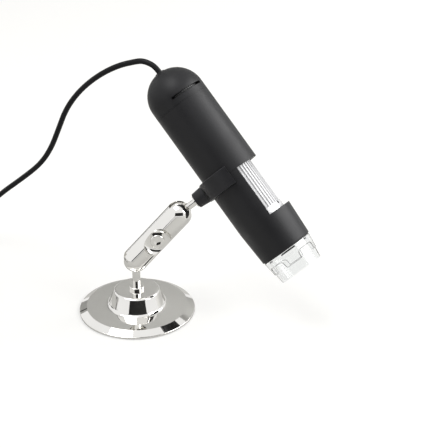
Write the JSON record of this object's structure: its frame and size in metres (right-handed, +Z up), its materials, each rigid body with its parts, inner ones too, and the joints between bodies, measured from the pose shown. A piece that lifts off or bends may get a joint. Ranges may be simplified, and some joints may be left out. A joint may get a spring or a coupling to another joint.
{
  "type": "usb digital microscope",
  "caption": "Hand-held digital microscope with a finned focus roller and clear nozzle, clipped to a chrome ball-joint desk stand, with its USB cord coiled beside it.",
  "frame": {"origin": "centre of the foot's underside, on the table", "axes": "+Z up; +X to the right in the picture, the way the stand leans; +Y away from the viewer. The arm and rod lie in the XZ plane at rest."},
  "size_m": [0.2928, 0.1525, 0.143],
  "materials": {
    "chrome": "polished",
    "cast_weight": "raw",
    "black_pad": "matte",
    "steel": "satin",
    "black_plastic": "satin",
    "brass": "machined",
    "charcoal_plastic": "soft-touch matte",
    "green_board": "satin",
    "white_board": "matte",
    "dark_component": "matte",
    "wheel_plastic": "matte",
    "silver_plastic": "metallic silver",
    "ring_plastic": "metallic silver",
    "dark_steel": "blackened",
    "frame_plastic": "matte",
    "black_aluminium": "black anodised",
    "lens_glass": "coated",
    "led_clear": "clear",
    "seal_rubber": "matte",
    "clear_plastic": "clear moulded",
    "cord_black": "satin",
    "plug_plastic": "satin",
    "plug_metal": "bright nickel",
    "tongue_plastic": "satin",
    "contact_gold": "gold plated"
  },
  "bodies": {
    "base": {"foot_cover": "chrome", "foot_weight": "cast_weight", "foot_pad": "black_pad", "foot_washer": "steel"},
    "lower_stud": {"lower_ball_stud": "chrome", "stud_nut": "steel"},
    "arm": {"arm_shell_front": "chrome", "arm_shell_rear": "chrome", "clamp_bolt": "chrome"},
    "clamp_knob": {"clamp_knob": "chrome"},
    "upper_stud": {"upper_ball_stud": "chrome"},
    "clip": {"holder_clip": "black_plastic", "clip_insert": "brass"},
    "microscope": {"top_cap": "charcoal_plastic", "upper_barrel": "charcoal_plastic", "lower_barrel": "charcoal_plastic", "light_board": "green_board", "dimmer_control": "dark_component", "chassis": "frame_plastic", "sensor_board": "green_board", "image_sensor": "dark_component", "board_screws": "steel", "main_board": "green_board", "board_chips": "dark_component", "led_board": "white_board", "leds": "led_clear", "nozzle_seal": "seal_rubber", "cord_grommet": "seal_rubber", "inner_cord": "cord_black", "usb_cord": "cord_black", "usb_cord_coil": "cord_black", "usb_cord_tail": "cord_black", "cord_tie": "seal_rubber", "plug_relief": "cord_black", "plug_body": "plug_plastic", "plug_shell": "plug_metal", "plug_tongue": "tongue_plastic", "plug_contacts": "contact_gold"},
    "dimmer_wheel": {"dimmer_wheel": "wheel_plastic"},
    "focus_roller": {"focus_roller": "silver_plastic", "roller_ring": "ring_plastic", "grub_screw": "dark_steel"},
    "lens_carriage": {"lens_carriage": "frame_plastic", "lens_barrel": "black_aluminium", "lens_elements": "lens_glass"},
    "nozzle": {"clear_nozzle": "clear_plastic"}
  },
  "joints": [
    {"name": "base_swivel", "type": "hinge", "parent": "base", "child": "lower_stud", "pos_m": [0, 0, 0.0143], "axis": [0, 0, 1], "continuous": true},
    {"name": "arm_tilt", "type": "hinge", "parent": "lower_stud", "child": "arm", "pos_m": [0, 0, 0.0337], "axis": [0, 1, 0], "range_deg": [-86.6, 18.4]},
    {"name": "clamp_knob_turn", "type": "hinge", "parent": "arm", "child": "clamp_knob", "pos_m": [0.01265, 0, 0.04795], "axis": [0, 1, 0], "range_deg": [-180, 180]},
    {"name": "upper_tilt", "type": "hinge", "parent": "arm", "child": "upper_stud", "pos_m": [0.0253, 0, 0.06219], "axis": [0, 1, 0], "range_deg": [-60.4, 24.6]},
    {"name": "clip_swivel", "type": "hinge", "parent": "upper_stud", "child": "clip", "pos_m": [0.05603, 0, 0.0862], "axis": [0.788, 0, 0.6157], "range_deg": [-60, 60]},
    {"name": "microscope_turn", "type": "hinge", "parent": "clip", "child": "microscope", "pos_m": [0.05603, 0, 0.0862], "axis": [-0.5552, 0.4321, 0.7107], "range_deg": [-60, 60]},
    {"name": "focus_turn", "type": "hinge", "parent": "microscope", "child": "focus_roller", "pos_m": [0.05603, 0, 0.0862], "axis": [-0.5552, 0.4321, 0.7107], "range_deg": [-240, 240]},
    {"name": "lens_travel", "type": "slide", "parent": "microscope", "child": "lens_carriage", "axis": [-0.5552, 0.4321, 0.7107], "range_m": [-0.0041, 0.0041]},
    {"name": "dimmer_turn", "type": "hinge", "parent": "microscope", "child": "dimmer_wheel", "pos_m": [0.0291, 0.01729, 0.12853], "axis": [-0.5552, 0.4321, 0.7107], "range_deg": [-135, 135]},
    {"name": "nozzle_pull", "type": "slide", "parent": "microscope", "child": "nozzle", "axis": [0.5552, -0.4321, -0.7107], "range_m": [0, 0.02]}
  ],
  "couplings": [
    {"joint": "lens_travel", "follows": "focus_turn", "m_per_rad": 0.00095493}
  ]
}
